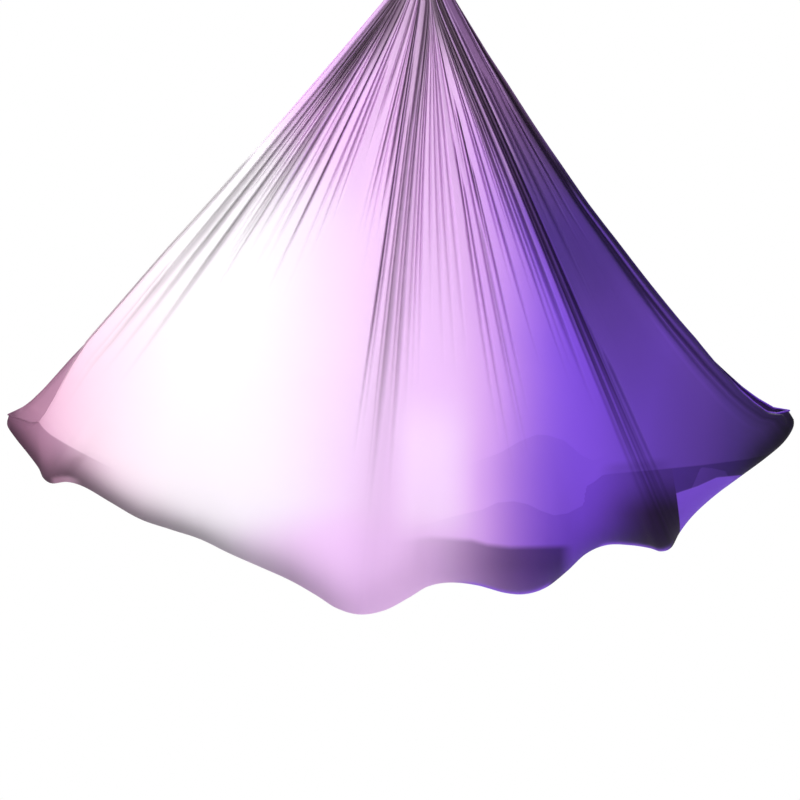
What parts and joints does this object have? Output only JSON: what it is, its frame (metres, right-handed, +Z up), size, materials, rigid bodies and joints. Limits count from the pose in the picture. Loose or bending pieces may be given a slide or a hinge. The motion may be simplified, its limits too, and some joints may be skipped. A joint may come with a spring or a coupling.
{
  "type": "aerial hammock",
  "caption": "Wide translucent cloth sling, gathered and tied to a figure-eight ring, hanging from a ceiling plate by twist-lock carabiners and a ball-bearing swivel.",
  "frame": {"origin": "centre of the ceiling plate's top face, where it meets the ceiling", "axes": "+Z up, +X along the spread cloth to the viewer's right, -Y towards the viewer"},
  "size_m": [2.8071, 0.6264, 2.7834],
  "materials": {
    "brushed_steel": "brushed, lightly worn",
    "zinc_plate": "zinc plated",
    "bearing_steel": "ground and polished",
    "violet_anodised": "satin anodised",
    "ombre_tricot": "sheer nylon tricot, dyed from mauve over white and lilac to deep violet",
    "gathered_tricot": "the same cloth, gathered and twisted"
  },
  "bodies": {
    "ceiling_fitting": {"ceiling_plate": "brushed_steel", "ceiling_bow": "brushed_steel", "anchor_bolt_1": "zinc_plate", "anchor_bolt_2": "zinc_plate", "anchor_bolt_3": "zinc_plate", "anchor_bolt_4": "zinc_plate", "anchor_washer_1": "zinc_plate", "anchor_washer_2": "zinc_plate", "anchor_washer_3": "zinc_plate", "anchor_washer_4": "zinc_plate"},
    "upper_carabiner": {"upper_carabiner_rim": "brushed_steel", "upper_gate_pin": "brushed_steel"},
    "upper_gate": {"upper_carabiner_gate": "brushed_steel"},
    "upper_sleeve": {"upper_lock_sleeve": "violet_anodised", "upper_sleeve_spring": "brushed_steel"},
    "swivel_upper": {"swivel_upper_eye": "brushed_steel", "swivel_collar": "brushed_steel", "swivel_lower_race": "bearing_steel", "swivel_ball_ring": "bearing_steel"},
    "swivel_lower": {"swivel_lower_eye": "brushed_steel", "swivel_nut": "zinc_plate", "swivel_upper_race": "bearing_steel"},
    "lower_carabiner": {"lower_carabiner_rim": "brushed_steel", "lower_gate_pin": "brushed_steel"},
    "lower_gate": {"lower_carabiner_gate": "brushed_steel"},
    "lower_sleeve": {"lower_lock_sleeve": "violet_anodised", "lower_sleeve_spring": "brushed_steel"},
    "hammock": {"figure_eight": "brushed_steel", "front_end_loop": "gathered_tricot", "back_end_loop": "gathered_tricot", "knot_wrap": "gathered_tricot", "front_fall": "ombre_tricot", "back_fall": "ombre_tricot"}
  },
  "joints": [
    {"name": "bow_swing", "type": "hinge", "parent": "ceiling_fitting", "child": "upper_carabiner", "pos_m": [0, 0, -0.052], "axis": [1, 0, 0], "range_deg": [-30, 30]},
    {"name": "upper_gate_hinge", "type": "hinge", "parent": "upper_carabiner", "child": "upper_gate", "pos_m": [0, -0.022, -0.1192], "axis": [-1, 0, 0], "range_deg": [0, 20], "stiffness_Nm_per_rad": 0.15, "springref_deg": -20.05},
    {"name": "upper_sleeve_twist", "type": "hinge", "parent": "upper_gate", "child": "upper_sleeve", "pos_m": [0, -0.022, -0.0805], "axis": [0, 0, 1], "range_deg": [0, 90], "stiffness_Nm_per_rad": 0.02, "springref_deg": -20.05},
    {"name": "upper_eye_swing", "type": "hinge", "parent": "upper_carabiner", "child": "swivel_upper", "pos_m": [0, 0, -0.1462], "axis": [0, 1, 0], "range_deg": [-30, 30]},
    {"name": "swivel_spin", "type": "hinge", "parent": "swivel_upper", "child": "swivel_lower", "pos_m": [0, 0, -0.1913], "axis": [0, 0, 1], "continuous": true},
    {"name": "lower_eye_swing", "type": "hinge", "parent": "swivel_lower", "child": "lower_carabiner", "pos_m": [0, 0, -0.2274], "axis": [1, 0, 0], "range_deg": [-30, 30]},
    {"name": "lower_gate_hinge", "type": "hinge", "parent": "lower_carabiner", "child": "lower_gate", "pos_m": [0, -0.022, -0.2956], "axis": [-1, 0, 0], "range_deg": [0, 20], "stiffness_Nm_per_rad": 0.15, "springref_deg": -20.05},
    {"name": "lower_sleeve_twist", "type": "hinge", "parent": "lower_gate", "child": "lower_sleeve", "pos_m": [0, -0.022, -0.2569], "axis": [0, 0, 1], "range_deg": [0, 90], "stiffness_Nm_per_rad": 0.02, "springref_deg": -20.05},
    {"name": "hammock_swing", "type": "hinge", "parent": "lower_carabiner", "child": "hammock", "pos_m": [0, 0, -0.3226], "axis": [0, 1, 0], "range_deg": [-30, 30]}
  ]
}
